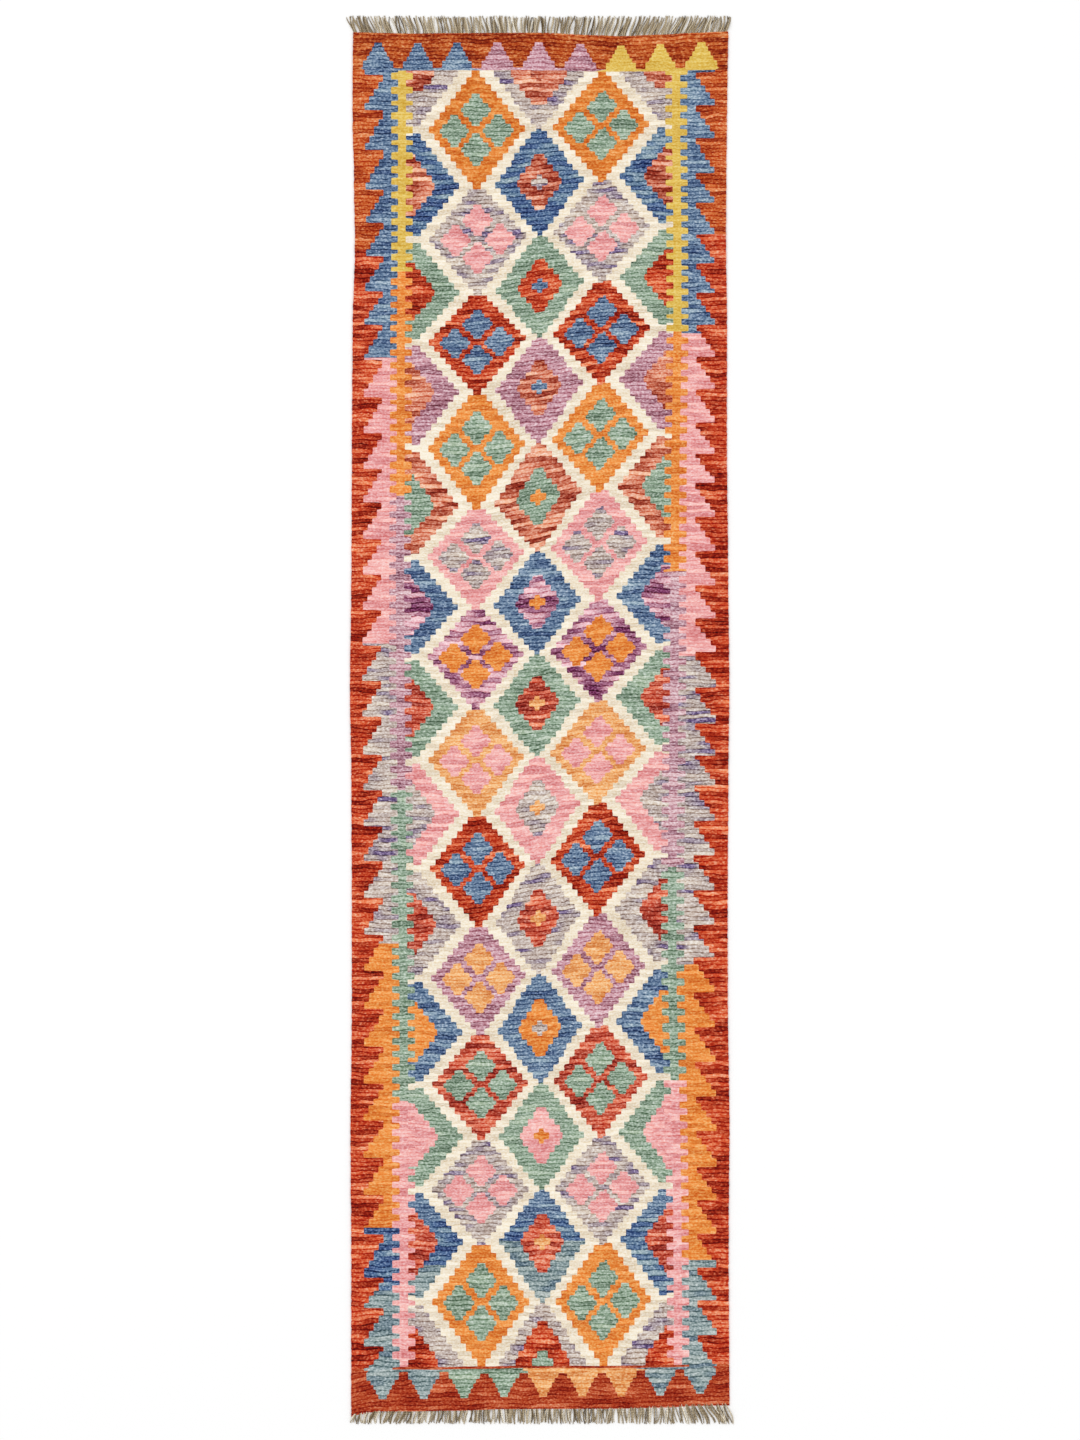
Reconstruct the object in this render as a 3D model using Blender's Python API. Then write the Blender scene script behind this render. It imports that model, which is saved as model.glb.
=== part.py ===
"""A kilim runner: one flat-woven wool cloth, with the ends of its warps left as a fringe at both ends.

Units are metres and +Z is up. The rug lies on the plane z = 0, with X across it and +Y along it,
towards the end with the longer fringe. The origin is the middle of the whole rug, fringes included.
"""
import random
from collections import namedtuple
from math import pi, sin

import bmesh
import bpy
from mathutils import Vector

MM = 0.001

# ---- driving dimensions -------------------------------------------------------------------------
CLOTH_WIDTH = 0.820
CLOTH_LENGTH = 3.000
CLOTH_THICKNESS = 0.003

TUFTS_PER_END = 50
STRANDS_PER_TUFT = 3
TOP_FRINGE_LENGTH = 0.0355
BOTTOM_FRINGE_LENGTH = 0.0290

# ---- the cloth's uneven outline -----------------------------------------------------------------
# A station along the cloth, in metres from its bottom end, and how far the left and the right
# selvedge stand out there from a straight edge, in millimetres.
Selvedge = namedtuple("Selvedge", "along left right")
SELVEDGES = (
    Selvedge(0.00, 1.5, 2.8),
    Selvedge(0.35, 1.3, 1.1),
    Selvedge(0.60, 3.0, 3.0),
    Selvedge(0.90, 0.0, -0.7),
    Selvedge(1.10, 0.0, -1.1),
    Selvedge(1.40, 1.3, 0.7),
    Selvedge(1.57, 4.1, 2.6),
    Selvedge(1.85, 0.9, -0.2),
    Selvedge(2.10, 0.0, -2.8),
    Selvedge(2.37, -1.7, -2.4),
    Selvedge(2.53, -6.8, -4.6),
    Selvedge(2.68, -4.6, -3.9),
    Selvedge(2.83, -1.3, -2.4),
    Selvedge(3.00, -2.4, 0.4),
)

# A share of the way across the cloth, from its left edge, how far the bottom and the top end stand
# out there from a straight end, and how far the tips of the two fringes lean to the right of their
# roots, all in millimetres.
CrossStation = namedtuple("CrossStation", "across bottom top bottom_lean top_lean")
CROSS_STATIONS = (
    CrossStation(0.00, 15.0, 1.7, -2.0, -12.0),
    CrossStation(0.03, 9.0, 1.5, -3.0, -14.0),
    CrossStation(0.06, 4.0, 0.5, -6.0, -15.0),
    CrossStation(0.15, 3.5, -1.0, -9.0, -10.0),
    CrossStation(0.26, 2.0, 0.0, -3.0, -4.0),
    CrossStation(0.40, -1.5, 0.8, 2.0, -7.0),
    CrossStation(0.50, -2.0, 1.0, -2.0, 3.0),
    CrossStation(0.65, -2.0, -4.5, 3.0, 10.0),
    CrossStation(0.71, -2.5, -6.5, 0.0, 8.0),
    CrossStation(0.82, -4.5, -3.3, -2.0, 17.0),
    CrossStation(0.92, -8.5, 1.0, 12.0, 15.0),
    CrossStation(1.00, -9.5, 3.7, 7.0, 5.0),
)

SELVEDGE_STEPS = 60
END_STEPS = TUFTS_PER_END

# ---- the fringe ---------------------------------------------------------------------------------
PARTING_GAP = 0.0004
STRIP_DEPTH = 0.004
TUFT_PITCH_SHARE = 1.0 / TUFTS_PER_END
STRANDS_PER_END = TUFTS_PER_END * STRANDS_PER_TUFT
STRAND_ROOT_PITCH = 0.0038
STRAND_WIDTHS = (0.0031, 0.0031, 0.0028, 0.0020)
STRAND_HEIGHTS = (CLOTH_THICKNESS, 0.0026, 0.0021, 0.0015)
STRAND_BOW = 0.0012
BOWS_ACROSS = 6
TIP_WANDER = 0.0004
LENGTH_WANDER = 0.0030
RANDOM_SEED = 11

# ---- materials: name, colour, roughness ---------------------------------------------------------
WOOL_RED = ("woven wool", (0.36, 0.045, 0.016, 1.0), 0.90)
WARP_GREY = ("undyed warp yarn", (0.40, 0.36, 0.28, 1.0), 0.92)


def eased(stations, column, position):
    """A table's value at a position between two stations, eased so that the edge has no corners."""
    for before, after in zip(stations, stations[1:]):
        if position <= after[0]:
            share = max(0.0, (position - before[0]) / (after[0] - before[0]))
            step = getattr(after, column) - getattr(before, column)
            return getattr(before, column) + step * share * share * (3.0 - 2.0 * share)
    return getattr(stations[-1], column)


def cloth_point(across, along):
    """The place of a point of the cloth, from its share of the way across and along."""
    metres_along = along * CLOTH_LENGTH
    left = -CLOTH_WIDTH / 2 - eased(SELVEDGES, "left", metres_along) * MM
    right = CLOTH_WIDTH / 2 + eased(SELVEDGES, "right", metres_along) * MM
    bottom = -eased(CROSS_STATIONS, "bottom", across) * MM
    top = CLOTH_LENGTH + eased(CROSS_STATIONS, "top", across) * MM
    return Vector((left + across * (right - left), bottom + along * (top - bottom), 0.0))


def cloth_outline():
    """The cloth's edge as one anticlockwise ring of points, from its bottom left corner."""
    bottom = [cloth_point(step / END_STEPS, 0.0) for step in range(END_STEPS)]
    right = [cloth_point(1.0, step / SELVEDGE_STEPS) for step in range(SELVEDGE_STEPS)]
    top = [cloth_point(1.0 - step / END_STEPS, 1.0) for step in range(END_STEPS)]
    left = [cloth_point(0.0, 1.0 - step / SELVEDGE_STEPS) for step in range(SELVEDGE_STEPS)]
    return bottom + right + top + left


def woven_material(name, colour, roughness):
    """A plain Principled material for a woven or twisted wool piece."""
    material = bpy.data.materials.new(name)
    material.use_nodes = True
    shader = material.node_tree.nodes["Principled BSDF"]
    shader.inputs["Base Color"].default_value = colour
    shader.inputs["Roughness"].default_value = roughness
    shader.inputs["Metallic"].default_value = 0.0
    return material


def add_object(name, bm, material, parent):
    """One named object, made from a finished bmesh and hung from the rug's empty."""
    bmesh.ops.recalc_face_normals(bm, faces=bm.faces)
    mesh = bpy.data.meshes.new(name)
    bm.to_mesh(mesh)
    bm.free()
    mesh.materials.append(material)
    piece = bpy.data.objects.new(name, mesh)
    piece.parent = parent
    bpy.context.collection.objects.link(piece)
    return piece


def make_cloth(parent):
    """The woven cloth: its outline, raised to the cloth's thickness."""
    bm = bmesh.new()
    sole = bm.faces.new([bm.verts.new(point) for point in cloth_outline()])
    raised = bmesh.ops.extrude_face_region(bm, geom=[sole])
    upper = [item for item in raised["geom"] if isinstance(item, bmesh.types.BMVert)]
    bmesh.ops.translate(bm, verts=upper, vec=(0.0, 0.0, CLOTH_THICKNESS))
    return add_object("kilim", bm, woven_material(*WOOL_RED), parent)


def strip_edge(along, across, distance):
    """A point of a fringe's strip: how far across, and how far out past the cloth's end."""
    outward = 1.0 if along > 0.5 else -1.0
    return cloth_point(across, along) + Vector((0.0, outward * distance, 0.0))


def root_shares(tuft):
    """The left and right sides of each strand's root in one tuft, as shares of the cloth's width."""
    centre = (tuft + 0.5) * TUFT_PITCH_SHARE
    middle_strand = (STRANDS_PER_TUFT - 1) / 2
    shares = []
    for strand in range(STRANDS_PER_TUFT):
        offset = (strand - middle_strand) * STRAND_ROOT_PITCH
        shares.append(centre + (offset - STRAND_WIDTHS[0] / 2) / CLOTH_WIDTH)
        shares.append(centre + (offset + STRAND_WIDTHS[0] / 2) / CLOTH_WIDTH)
    return shares


def add_wall(bm, low, high, first, second):
    """One upright four-sided face between two stations of a low and a high row of points."""
    return bm.faces.new((low[first], low[second], high[second], high[first]))


def add_edge_rows(bm, along, shares, distance):
    """A low and a high row of points along a fringe's strip."""
    lift = Vector((0.0, 0.0, CLOTH_THICKNESS))
    low = [bm.verts.new(strip_edge(along, share, distance)) for share in shares]
    high = [bm.verts.new(vert.co + lift) for vert in low]
    return low, high


def add_strip(bm, along):
    """The narrow strip that holds the roots. It returns the outer faces that the strands grow from."""
    bounds = [tuft * TUFT_PITCH_SHARE for tuft in range(TUFTS_PER_END + 1)]
    outer_shares = [bounds[0]]
    for tuft in range(TUFTS_PER_END):
        outer_shares += root_shares(tuft) + [bounds[tuft + 1]]
    inner_low, inner_high = add_edge_rows(bm, along, bounds, PARTING_GAP)
    outer_low, outer_high = add_edge_rows(bm, along, outer_shares, PARTING_GAP + STRIP_DEPTH)

    roots = []
    stations_per_tuft = 2 * STRANDS_PER_TUFT + 1
    for tuft in range(TUFTS_PER_END):
        first = tuft * stations_per_tuft
        last = first + stations_per_tuft
        for inner, outer in ((inner_low, outer_low), (inner_high, outer_high)):
            bm.faces.new([inner[tuft + 1], inner[tuft]] + outer[first:last + 1])
        add_wall(bm, inner_low, inner_high, tuft, tuft + 1)
        for station in range(first, last):
            wall = add_wall(bm, outer_low, outer_high, station, station + 1)
            if (station - first) % 2 == 1:
                roots.append(wall)
    bm.faces.new((inner_low[0], outer_low[0], outer_high[0], inner_high[0]))
    bm.faces.new((inner_low[-1], outer_low[-1], outer_high[-1], inner_high[-1]))
    return roots


def grow_strand(bm, root, tip_x, tip_y, bow):
    """One strand, grown out of its root face in a few sections that lie on the floor."""
    start = root.calc_center_median()
    face = root
    last_section = len(STRAND_WIDTHS) - 1
    for section in range(1, last_section + 1):
        share = section / last_section
        centre_x = start.x + (tip_x - start.x) * share + bow * sin(pi * share)
        centre_y = start.y + (tip_y - start.y) * share
        before = face.calc_center_median()
        face = bmesh.ops.extrude_discrete_faces(bm, faces=[face])["faces"][0]
        for vert in face.verts:
            side = 0.5 if vert.co.x > before.x else -0.5
            height = STRAND_HEIGHTS[section] if vert.co.z > before.z else 0.0
            vert.co = Vector((centre_x + side * STRAND_WIDTHS[section], centre_y, height))


def make_fringe(name, along, length, lean_column, parent):
    """A fringe: its strip, and its tufts of strands, whose tips spread out to one nearly straight row."""
    dice = random.Random(RANDOM_SEED + int(along))
    tip_row = CLOTH_LENGTH + length if along > 0.5 else -length
    bm = bmesh.new()
    for number, root in enumerate(add_strip(bm, along)):
        across = (number + 0.5) / STRANDS_PER_END
        lean = eased(CROSS_STATIONS, lean_column, across) * MM
        tip_x = cloth_point(across, along).x + lean + dice.uniform(-TIP_WANDER, TIP_WANDER)
        tip_y = tip_row + dice.uniform(-LENGTH_WANDER, LENGTH_WANDER)
        bow = STRAND_BOW * sin(2.0 * pi * BOWS_ACROSS * across)
        grow_strand(bm, root, tip_x, tip_y, bow)
    return add_object(name, bm, woven_material(*WARP_GREY), parent)


def centre_on_origin(holder, pieces):
    """Move the empty that holds the rug so that the middle of its footprint is the origin."""
    points = [vert.co for piece in pieces for vert in piece.data.vertices]
    for axis in (0, 1):
        lowest = min(point[axis] for point in points)
        highest = max(point[axis] for point in points)
        holder.location[axis] = -(lowest + highest) / 2


def main():
    for leftover in list(bpy.data.objects):
        bpy.data.objects.remove(leftover)
    holder = bpy.data.objects.new("rug", None)
    bpy.context.collection.objects.link(holder)
    pieces = (
        make_cloth(holder),
        make_fringe("fringe_top", 1.0, TOP_FRINGE_LENGTH, "top_lean", holder),
        make_fringe("fringe_bottom", 0.0, BOTTOM_FRINGE_LENGTH, "bottom_lean", holder),
    )
    centre_on_origin(holder, pieces)


main()
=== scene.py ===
"""The looks of a kilim runner: one flat-woven wool cloth charted cell by cell, as a weaver counts it,
and the twisted ends of its warps lying as a fringe at both ends.

Units are metres and +Z is up. X runs across the rug and +Y along it, towards the longer fringe.
"""

import math
import random
from collections import namedtuple

import bpy
import numpy as np
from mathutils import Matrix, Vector


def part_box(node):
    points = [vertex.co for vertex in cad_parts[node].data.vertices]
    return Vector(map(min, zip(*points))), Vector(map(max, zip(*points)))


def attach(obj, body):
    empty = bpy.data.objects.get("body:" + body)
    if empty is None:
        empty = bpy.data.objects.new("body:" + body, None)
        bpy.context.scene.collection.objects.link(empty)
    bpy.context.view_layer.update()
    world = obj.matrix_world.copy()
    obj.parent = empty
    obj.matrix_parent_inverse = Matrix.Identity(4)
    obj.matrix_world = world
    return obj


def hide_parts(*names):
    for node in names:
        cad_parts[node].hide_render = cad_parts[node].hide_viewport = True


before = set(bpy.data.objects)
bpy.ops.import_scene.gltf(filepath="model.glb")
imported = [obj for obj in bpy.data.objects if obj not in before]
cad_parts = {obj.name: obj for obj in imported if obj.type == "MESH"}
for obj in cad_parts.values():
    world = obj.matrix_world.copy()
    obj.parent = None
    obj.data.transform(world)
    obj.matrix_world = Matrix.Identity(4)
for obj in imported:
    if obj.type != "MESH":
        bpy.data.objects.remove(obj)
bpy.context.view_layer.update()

MM = 0.001

# ---- what the frame says ----
CLOTH_LOW, CLOTH_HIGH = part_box("kilim")
CLOTH_MIDDLE = (CLOTH_LOW + CLOTH_HIGH) / 2
TOP_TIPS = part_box("fringe_top")[1].y
BOTTOM_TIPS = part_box("fringe_bottom")[0].y

# A point of the frame's cloth this near to its furthest reach is on a selvedge or on a woven end.
SELVEDGE_BAND = 0.012
END_BAND = 0.030

# ---- the cloth ----
CLOTH_WIDTH = 0.820
CLOTH_LENGTH = 3.000
CLOTH_THICKNESS = 0.0022
LARGEST_LIFT = 0.0011
SELVEDGE_RISE = 0.0004
RAISED_EDGE_WIDTH = 0.006
WEFT_WANDER = 0.0012
KNOT_JITTER = 0.0007
SELVEDGE_JITTER = 0.0006
CORNER_ROUNDING = 0.0005
SLIT_DIP = 0.0003
BEAT_RELIEF = 0.00012

# The rows slant from the left half's heights to the right half's over this width in the middle, and
# the unevenness of the two woven ends fades out over these lengths.
SLANT_WIDTH = 0.340
BOTTOM_EASING = 0.20
TOP_EASING = 0.16

# The wefts' wander fades out towards the ends and the selvedges by these powers.
END_FADE = 0.3
SELVEDGE_FADE = 6

# A ripple is a few waves, each with a length across and along between these shortest and longest.
WEFT_WAVES = ((0.07, 0.17), (0.04, 0.13))
LIFT_WAVES = ((0.5, 1.4), (0.25, 0.7))
WAVES_PER_RIPPLE = 6
HIGHEST_RIPPLE = 1.6

# Faces that meet at more than so many degrees keep a sharp edge between them.
CLOTH_SHARP_ANGLE = 40.0
YARN_SHARP_ANGLE = 70.0

# ---- the weaver's count: columns across ----
# The field is counted out from its middle column.
DIAMOND_CENTRE = 22
FIELD_REACH = 45
MIDDLE_COLUMN_WIDTH = 0.011
CENTRE_DISTANCE = 0.135
FIELD_CELL = (CENTRE_DISTANCE - MIDDLE_COLUMN_WIDTH / 2) / (DIAMOND_CENTRE - 0.5)

# A border is counted out from the field: a comb's inner teeth, spine and outer teeth, a stripe with
# saw teeth on its outer side, the plain margin, and the selvedge.
COMB_WIDTHS = (0.0155, 0.0175, 0.0155)
SAW_NARROWEST = 0.0178
SAW_STEP_WIDTH = 0.0102
SAW_STEPS = 4
SAW_COLUMNS = SAW_STEPS + 1
MARGIN_COLUMNS = 2
SELVEDGE_WIDTH = 0.0045
BORDER_COLUMNS = len(COMB_WIDTHS) + SAW_COLUMNS + MARGIN_COLUMNS + 1
REACH = FIELD_REACH + BORDER_COLUMNS
COLUMNS = 2 * REACH + 1
SPINE_MIDDLE = MIDDLE_COLUMN_WIDTH / 2 + FIELD_CELL * FIELD_REACH + COMB_WIDTHS[0] + COMB_WIDTHS[1] / 2

# ---- the weaver's count: rows along ----
# A step of a diamond's edge is three rows. A diamond is sixteen steps, and the last has one more.
ROWS_PER_STEP = 3
STEPS_PER_DIAMOND = 16
ROWS_PER_DIAMOND = ROWS_PER_STEP * STEPS_PER_DIAMOND
WIDEST_STEP = 8

# How many cells a diamond and its ivory outline reach out at a tip, and how many more at each step.
# From one step on, the outline is a cell narrower on its inner side.
DIAMOND_TIP_REACH = 1
OUTLINE_TIP_REACH = 6
CELLS_PER_STEP = 2
NARROWED_STEP = 4

BOTTOM_BAND_ROWS = 18
TOP_BAND_ROWS = 16
BOTTOM_BAND_LENGTH = 0.094

# The diamonds of both columns, from the bottom. In millimetres: the height of the left one and of the
# right one, then where four lines are across the rug there, from its middle: the left comb's spine,
# the middles of the two diamonds, and the right comb's spine. Last, their ground and their flowers.
Diamond = namedtuple("Diamond", "left right left_comb left_middle right_middle right_comb ground flower")
DIAMONDS = (
    Diamond(263, 264, -296, -127, 139, 301, "orange", "sage"),
    Diamond(229, 233, -296, -128, 137, 299, "dove", "pink"),
    Diamond(228, 241, -296, -127, 132, 294, "coral", "sage"),
    Diamond(235, 244, -297, -132, 127, 288, "mauve", "apricot"),
    Diamond(242, 242, -300, -134, 125, 288, "brick", "blue"),
    Diamond(233, 223, -302, -139, 127, 291, "apricot", "pink"),
    Diamond(218, 220, -304, -140, 128, 293, "violet", "orange"),
    Diamond(219, 239, -305, -139, 129, 294, "pink", "dove"),
    Diamond(250, 234, -303, -137, 132, 296, "orange", "sage"),
    Diamond(216, 223, -303, -136, 135, 300, "brick", "blue"),
    Diamond(232, 219, -301, -135, 136, 300, "dove", "pink"),
    Diamond(260, 243, -300, -140, 136, 297, "tangerine", "sage"),
)
FIELD_ROWS = ROWS_PER_DIAMOND * len(DIAMONDS) + ROWS_PER_STEP

# So many rows late is the outer half of a diamond, as the weaver works towards each border.
BORDER_LAG = {"left": 0, "right": 1}
ROWS = BOTTOM_BAND_ROWS + FIELD_ROWS + TOP_BAND_ROWS
ROW_PITCH = CLOTH_LENGTH / ROWS

# The nested diamonds between them, from the bottom, half ones first and last. Those along the
# borders are in the same colours.
Nest = namedtuple("Nest", "outer inner cross")
NESTS = (
    Nest("dove", "brick", "sage"),
    Nest("sea", "coral", "apricot"),
    Nest("sage", "pink", "orange"),
    Nest("blue", "orange", "dove"),
    Nest("dove", "coral", "apricot"),
    Nest("pink", "dove", "apricot"),
    Nest("sage", "coral", "apricot"),
    Nest("blue", "violet", "orange"),
    Nest("salmon", "sage", "orange"),
    Nest("mauve", "salmon", "blue"),
    Nest("sage", "brick", "blue"),
    Nest("royal", "salmon", "dove"),
    Nest("dove", "salmon", "salmon"),
)

# How far out a motif's steps go, in cells each side of its middle column.
INNER_REACH = (7, 6, 4, 2)
INNER_TIP_ROWS = 2
INNER_TIP_REACH = 1
BOTTOM_INNER_REACH = (9, 8, 6, 5, 3, 1)
TOP_INNER_REACH = (9, 8, 6, 4, 2)
HALF_INNER_REACH = (8, 7, 5, 3, 1)
TOP_HALF_INNER_REACH = (8, 7, 4)

# A cross's arms, in cells each side of its middle column, from its middle row up and down.
CROSS_REACH = (2, 2, 0, 0)
BOTTOM_CROSS_REACH = (3, 3, 1, 1, 1)
FLOWER_REACH = (1, 2, 4, 5, 4, 2, 1)
FLOWER_ROWS_PER_STEP = 2
FLOWER_ROWS = FLOWER_ROWS_PER_STEP * len(FLOWER_REACH)

# Where a diamond's flowers sit: cells from its middle column, and the first row of each.
FLOWER_PLACES = ((0, 10), (0, 27), (-8, 18), (8, 18))

# ---- the borders ----
# A comb's and a saw's yarns: from a row's height above the bottom end, in metres, this one is used.
COMBS = {
    "left": (
        (0.000, "pink"), (0.669, "sage"), (1.349, "heather"), (1.988, "orange"),
        (2.479, "yellow"),
    ),
    "right": (
        (0.000, "pink"), (0.713, "sage"), (1.179, "heather"), (1.825, "orange"),
        (2.350, "yellow"),
    ),
}
# Teeth counted from a border's lowest one: some counts with their heights, in metres, and the rest
# lie evenly between. A comb's tooth has its middle there, and a saw tooth its bottom edge.
COMB_TEETH = {
    "left": (
        (-1, 0.089), (41, 1.284), (66, 1.977), (78, 2.304), (89, 2.589), (100, 2.905), (101, 2.933),
    ),
    "right": (
        (-1, 0.087), (0, 0.117), (22, 0.768), (30, 1.026), (44, 1.415), (49, 1.547), (59, 1.824),
        (78, 2.356), (98, 2.888), (99, 2.915),
    ),
}
COMB_TOOTH_SHARE = 0.50
SAW_TEETH = {
    "left": (
        (0, 0.074), (1, 0.137), (2, 0.219), (3, 0.288), (4, 0.383), (11, 0.955), (12, 1.035),
        (19, 1.587), (20, 1.667), (27, 2.206), (28, 2.288), (31, 2.514), (33, 2.659), (35, 2.830),
        (36, 2.908),
    ),
    "right": (
        (0, 0.067), (1, 0.161), (7, 0.604), (12, 0.982), (17, 1.359), (19, 1.495), (20, 1.575),
        (26, 2.019), (28, 2.150), (31, 2.366), (34, 2.564), (36, 2.696), (38, 2.843), (39, 2.915),
    ),
}
SAWS = {
    "left": (
        (0.000, "sea"), (0.255, "royal"), (0.3935, "orange"), (1.011, "dove"),
        (1.667, "pink"), (2.288, "blue"),
    ),
    "right": (
        (0.000, "sea"), (0.321, "orange"), (0.965, "dove"), (1.639, "pink"),
        (2.345, "blue"),
    ),
}
TEETH_PER_SKEIN = 2

# One nested diamond and the halves beside it change yarn at these rows, counted from its middle.
BLUE_ROWS_ABOVE = 9
ROYAL_ROWS_ABOVE = {"left": -10, "middle": 0, "right": -24}

# The margins' two lots of brick, by height.
MARGINS = {
    "left": ((0.0, "brick"), (2.527, "rust")),
    "right": ((0.0, "brick"), (2.560, "rust")),
}

# ---- the end bands ----
# From the field outwards: at the bottom one dark row, then at both ends a row that joins the peaks,
# the peaks' own rows, and the ground. A peak is a middle column and four columns on each side of it.
PEAKS_PER_BAND = 9
PEAK_REACH = (0.0087, 0.0136, 0.0190, 0.0250, 0.0335)
PEAK_STEPS = (0, 0, 1, 1, 2, 2, 3, 3, 4, 4, 4)
PEAK_COLUMNS = 2 * len(PEAK_REACH) - 1
GAP_COLUMNS = 3
BAND_MARGIN_COLUMNS = 4

# The first peak's middle, the distance between peaks, their yarns, the peaks past which the joining
# line is two rows thick and then thin again, and the ground's yarn.
EndBand = namedtuple("EndBand", "first pitch yarns thick_from thick_to ground")
TOP_PEAKS = EndBand(-0.354, 0.0885, ("blue",) * 3 + ("mauve",) * 3 + ("yellow",) * 3, 0, 0, "russet")
BOTTOM_PEAKS = EndBand(
    -0.345, 0.0866, ("sea",) * 2 + ("sage",) * 2 + ("apricot",) * 3 + ("sea",) * 2, 2, 6, "madder")

# ---- the fringe ----
TUFTS_PER_END = 60
YARNS_PER_TUFT = 5
FRINGE_INSET = 0.006
YARN_RADIUS = 0.00145
YARN_SIDES = 6
YARN_CUTS = 7
YARN_INSIDE_CLOTH = 0.006
ROOT_SPREAD = 0.0058
TIP_SPREAD = 0.0138
TIP_WANDER = 0.0032
LENGTH_WANDER = 0.0028
YARN_LAYERS = 0.0030

# How uneven the tufts are: shares of the distance between tufts and between yarns, bows in tip
# wanders, radii and layers as shares of the usual radius and of the highest layer, and shades.
TUFT_JITTER = 0.09
YARN_JITTER = 0.08
LARGEST_BOW = 1.3
RADIUS_SHARES = (0.8, 1.15)
LAYER_SHARES = (0.1, 1.0)
USUAL_SHADE = 0.45
SHADE_SPREAD = 0.26

# A yarn's run: the straight part of its lean, how thin its root and tip are, and how many times over
# it would reach its full width, the floor, and its layer's far side.
STRAIGHT_SHARE = 0.35
ROOT_THINNESS = 0.7
TIP_THINNING = 0.35
WIDENING_RATE = 3.0
FALLING_RATE = 2.2
LAYER_RATE = 1.15
FLOOR_CLEARANCE = 0.0001

# How far the tips lean to the right of their roots, in millimetres, at these shares across the rug.
LEAN_PLACES = (0.00, 0.06, 0.15, 0.26, 0.40, 0.50, 0.60, 0.71, 0.82, 0.86, 0.90, 0.917, 0.932, 0.965, 1.00)
LEANS = {
    "bottom": (-4.0, -11.0, -10.0, -4.0, 1.0, -2.0, 3.0, -1.0, -3.0, 3.0, 14.0, 13.0, 32.0, 21.0, 9.0),
    "top": (-11.0, -14.0, -10.0, -5.0, -7.0, 3.0, 11.0, 14.0, 19.0, 19.0, 18.0, 17.0, 16.0, 11.0, 3.0),
}

RANDOM_SEED = 23

# ---- dyes ----
# A yarn's tones from its darkest to its lightest, in display values of red, green and blue. Then the
# height of a bundle of wefts in metres, and two powers: how far the shade painted in the furrows
# between bundles darkens and deepens the dye, and how far the wool's speckle varies it. Last, over how far
# its tone changes.
USUAL_STREAK = 0.080
Yarn = namedtuple("Yarn", "tones bundle furrow speckle streak", defaults=(USUAL_STREAK,))
YARNS = {
    "brick": Yarn(((139, 24, 5), (187, 66, 35), (211, 92, 55), (235, 144, 103)), 0.0092, 1.60, 0.56),
    "coral": Yarn(((146, 44, 33), (193, 87, 66), (217, 113, 87), (241, 164, 133)), 0.0094, 1.60, 0.56),
    "rust": Yarn(((161, 55, 19), (188, 84, 37), (207, 107, 54), (224, 140, 90)), 0.0086, 1.20, 0.54),
    "russet": Yarn(((145, 48, 14), (177, 78, 32), (192, 97, 44), (221, 135, 80)), 0.0082, 1.10, 0.54),
    "madder": Yarn(((145, 35, 12), (171, 62, 32), (185, 80, 44), (211, 118, 80)), 0.0086, 1.05, 0.48),
    "orange": Yarn(((215, 124, 54), (230, 146, 71), (240, 162, 90)), 0.0080, 0.50, 0.42, 0.070),
    "tangerine": Yarn(((206, 112, 43), (222, 135, 60), (233, 151, 79)), 0.0080, 0.50, 0.42, 0.070),
    "apricot": Yarn(((216, 143, 84), (234, 173, 114), (244, 192, 136)), 0.0080, 0.75, 0.48, 0.070),
    "yellow": Yarn(((213, 177, 82), (221, 187, 92), (228, 197, 104)), 0.0076, 0.40, 0.34, 0.070),
    "ivory": Yarn(((225, 211, 189), (238, 226, 205), (247, 238, 220)), 0.0076, 0.60, 0.55, 0.070),
    "pink": Yarn(((220, 147, 148), (235, 172, 171), (245, 193, 188)), 0.0080, 0.65, 0.46, 0.070),
    "blue": Yarn(((73, 95, 132), (103, 126, 155), (123, 145, 170), (155, 175, 190)), 0.0086, 1.25, 0.62),
    "royal": Yarn(((61, 82, 127), (83, 109, 149), (107, 133, 160), (158, 177, 185)), 0.0100, 1.25, 0.60),
    "sea": Yarn(((105, 125, 138), (141, 158, 160), (160, 174, 174), (183, 192, 189)), 0.0096, 1.20, 0.60),
    "sage": Yarn(((123, 143, 124), (149, 168, 149), (162, 181, 162), (181, 196, 176)), 0.0088, 1.20, 0.60),
    "dove": Yarn(((122, 104, 142), (164, 150, 162), (186, 172, 166), (204, 190, 182), (225, 214, 202)),
        0.0090, 1.60, 0.70, 0.070),
    "mauve": Yarn(((167, 118, 132), (193, 147, 159), (207, 163, 174), (219, 180, 188)), 0.0090, 1.45, 0.64),
    "heather": Yarn(((167, 124, 138), (195, 154, 165), (208, 169, 178), (220, 188, 193)),
        0.0090, 1.45, 0.64),
    "violet": Yarn(((116, 50, 90), (168, 109, 136), (216, 169, 180), (244, 206, 212)), 0.0112, 1.40, 0.62),
    "salmon": Yarn(((150, 52, 34), (198, 110, 84), (225, 153, 127), (243, 194, 165)), 0.0098, 1.50, 0.56),
}
# Where the tones lie on the scale of 0 to 1 of a bundle's tone, by how many there are.
TONE_PLACES = {
    3: (0.36, 0.50, 0.64),
    4: (0.32, 0.46, 0.56, 0.70),
    5: (0.30, 0.37, 0.46, 0.56, 0.70),
}

# Bundles of wefts wander by so many bundles, over so far across and along the rug.
WANDER_BUNDLES = 1.4
WANDER_ACROSS = 0.045
WANDER_ALONG = 0.040

# A furrow's painted shade changes over so far across and so many bundles, from a share of its full
# depth. It starts at this share of the way from a bundle's middle to its edge.
FURROW_ACROSS = 0.060
FURROW_BUNDLES = 0.7
FAINTEST_FURROW_SHADE = 0.4
FURROW_START = 0.60
SPECK_ACROSS = 0.0052
SPECK_ALONG = 0.0032
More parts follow.
